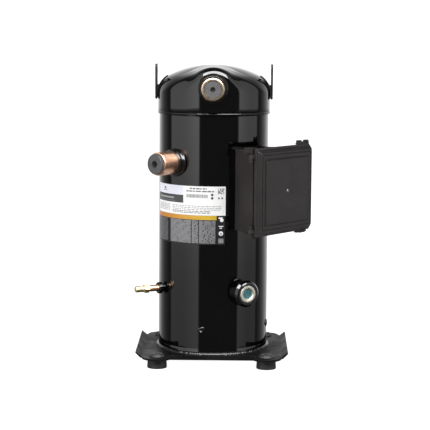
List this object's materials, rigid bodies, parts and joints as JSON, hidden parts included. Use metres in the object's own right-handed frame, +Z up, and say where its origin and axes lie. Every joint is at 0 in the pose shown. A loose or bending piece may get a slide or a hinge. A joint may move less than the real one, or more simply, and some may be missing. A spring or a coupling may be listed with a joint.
{
  "type": "scroll compressor",
  "caption": "Tall hermetic scroll compressor: black welded shell on a footed base plate, copper stubs with rubber plugs, side terminal box, oil valve and sight glass.",
  "frame": {"origin": "on the floor, at the centre of the four mounting bolts", "axes": "+Z up along the shell and crankshaft, -Y towards the discharge stub side (front), +X to the right seen from the front"},
  "size_m": [0.3105, 0.2848, 0.5255],
  "materials": {
    "shell_paint": "deep gloss black baked enamel",
    "plate_paint": "gloss black baked enamel",
    "copper": "bright copper plating",
    "brass": "turned brass",
    "spring_steel": "bright spring steel",
    "stub_rubber": "grey moulded rubber",
    "mount_rubber": "black moulded rubber",
    "zinc_steel": "zinc-plated steel",
    "sleeve_steel": "black phosphated steel",
    "box_plastic": "satin black moulded plastic",
    "block_plastic": "dark moulded phenolic",
    "seal_rubber": "black seal rubber",
    "sight_lens": "blue-green sight glass",
    "label_film": "satin printed film",
    "grey_iron": "machined grey iron",
    "machined_steel": "machined steel",
    "bearing_bronze": "bearing bronze",
    "motor_steel": "laminated silicon steel",
    "rotor_metal": "laminations with cast end rings",
    "winding_copper": "enamelled copper wire",
    "ring_aluminium": "machined aluminium"
  },
  "bodies": {
    "root": {"base_plate": "plate_paint", "check_valve_cage": "machined_steel", "discharge_collar": "copper", "discharge_stub": "copper", "fixed_scroll": "grey_iron", "lid_hinge_pins": "box_plastic", "lifting_lug_left": "shell_paint", "lifting_lug_right": "shell_paint", "lower_bearing": "bearing_bronze", "lower_bearing_bracket": "machined_steel", "lower_cap": "shell_paint", "main_bearing": "bearing_bronze", "main_bearing_housing": "grey_iron", "main_shell": "shell_paint", "mount_sleeves": "sleeve_steel", "nameplate": "label_film", "rubber_mount_front_left": "mount_rubber", "rubber_mount_front_right": "mount_rubber", "rubber_mount_rear_left": "mount_rubber", "rubber_mount_rear_right": "mount_rubber", "scroll_bolts": "zinc_steel", "separator_plate": "machined_steel", "sight_glass_housing": "shell_paint", "sight_glass_lens": "sight_lens", "sight_glass_ring": "zinc_steel", "sight_glass_seal": "seal_rubber", "stator_core": "motor_steel", "stator_windings": "winding_copper", "suction_baffle": "machined_steel", "suction_collar": "shell_paint", "suction_stub": "copper", "terminal_block": "block_plastic", "terminal_box_body": "box_plastic", "terminal_box_gasket": "seal_rubber", "terminal_fasteners": "brass", "terminal_pins": "zinc_steel", "terminal_plate": "zinc_steel", "top_cap": "shell_paint", "valve_body": "brass", "valve_flange": "shell_paint", "valve_spring": "spring_steel", "valve_tube": "copper", "welds": "shell_paint"},
    "crank": {"crankshaft": "machined_steel", "drive_bush": "machined_steel", "oil_pickup": "machined_steel", "upper_counterweight": "machined_steel", "lower_counterweight": "machined_steel", "rotor": "rotor_metal"},
    "orbiter": {"orbiting_scroll": "grey_iron"},
    "oldham": {"oldham_ring": "ring_aluminium"},
    "lid": {"terminal_box_lid": "box_plastic", "lid_latches": "box_plastic", "lid_screw": "spring_steel"},
    "suction_stopper": {"suction_plug": "stub_rubber"},
    "discharge_stopper": {"discharge_plug": "stub_rubber"},
    "valve_cover": {"valve_cap": "brass"},
    "valve_pin": {"valve_core_pin": "brass"},
    "check_disc": {"check_valve_disc": "spring_steel"},
    "seal": {"floating_seal": "machined_steel"}
  },
  "joints": [
    {"name": "crank_spin", "type": "hinge", "parent": "root", "child": "crank", "pos_m": [0, 0, 0.3], "axis": [0, 0, 1], "continuous": true},
    {"name": "scroll_orbit", "type": "hinge", "parent": "crank", "child": "orbiter", "pos_m": [0.005, 0, 0.375], "axis": [0, 0, 1], "continuous": true},
    {"name": "oldham_slide", "type": "slide", "parent": "root", "child": "oldham", "axis": [0, -1, 0], "range_m": [-0.005, 0.005]},
    {"name": "lid_hinge", "type": "hinge", "parent": "root", "child": "lid", "pos_m": [0.06471, -0.15881, 0.3125], "axis": [0, 0, -1], "range_deg": [0, 115]},
    {"name": "suction_plug_pull", "type": "slide", "parent": "root", "child": "suction_stopper", "axis": [-0.6691, -0.7431, 0], "range_m": [0, 0.03]},
    {"name": "discharge_plug_pull", "type": "slide", "parent": "root", "child": "discharge_stopper", "axis": [0, -1, 0], "range_m": [0, 0.03]},
    {"name": "valve_cap_draw", "type": "slide", "parent": "root", "child": "valve_cover", "axis": [-0.8988, -0.4384, 0], "range_m": [0, 0.016]},
    {"name": "valve_pin_press", "type": "slide", "parent": "root", "child": "valve_pin", "axis": [0.8988, 0.4384, 0], "range_m": [0, 0.0015], "stiffness_N_per_m": 600},
    {"name": "check_disc_lift", "type": "slide", "parent": "root", "child": "check_disc", "axis": [0, 0, 1], "range_m": [0, 0.005]},
    {"name": "seal_lift", "type": "slide", "parent": "root", "child": "seal", "axis": [0, 0, 1], "range_m": [0, 0.0016]}
  ],
  "couplings": [
    {"joint": "scroll_orbit", "follows": "crank_spin", "ratio": -1}
  ]
}
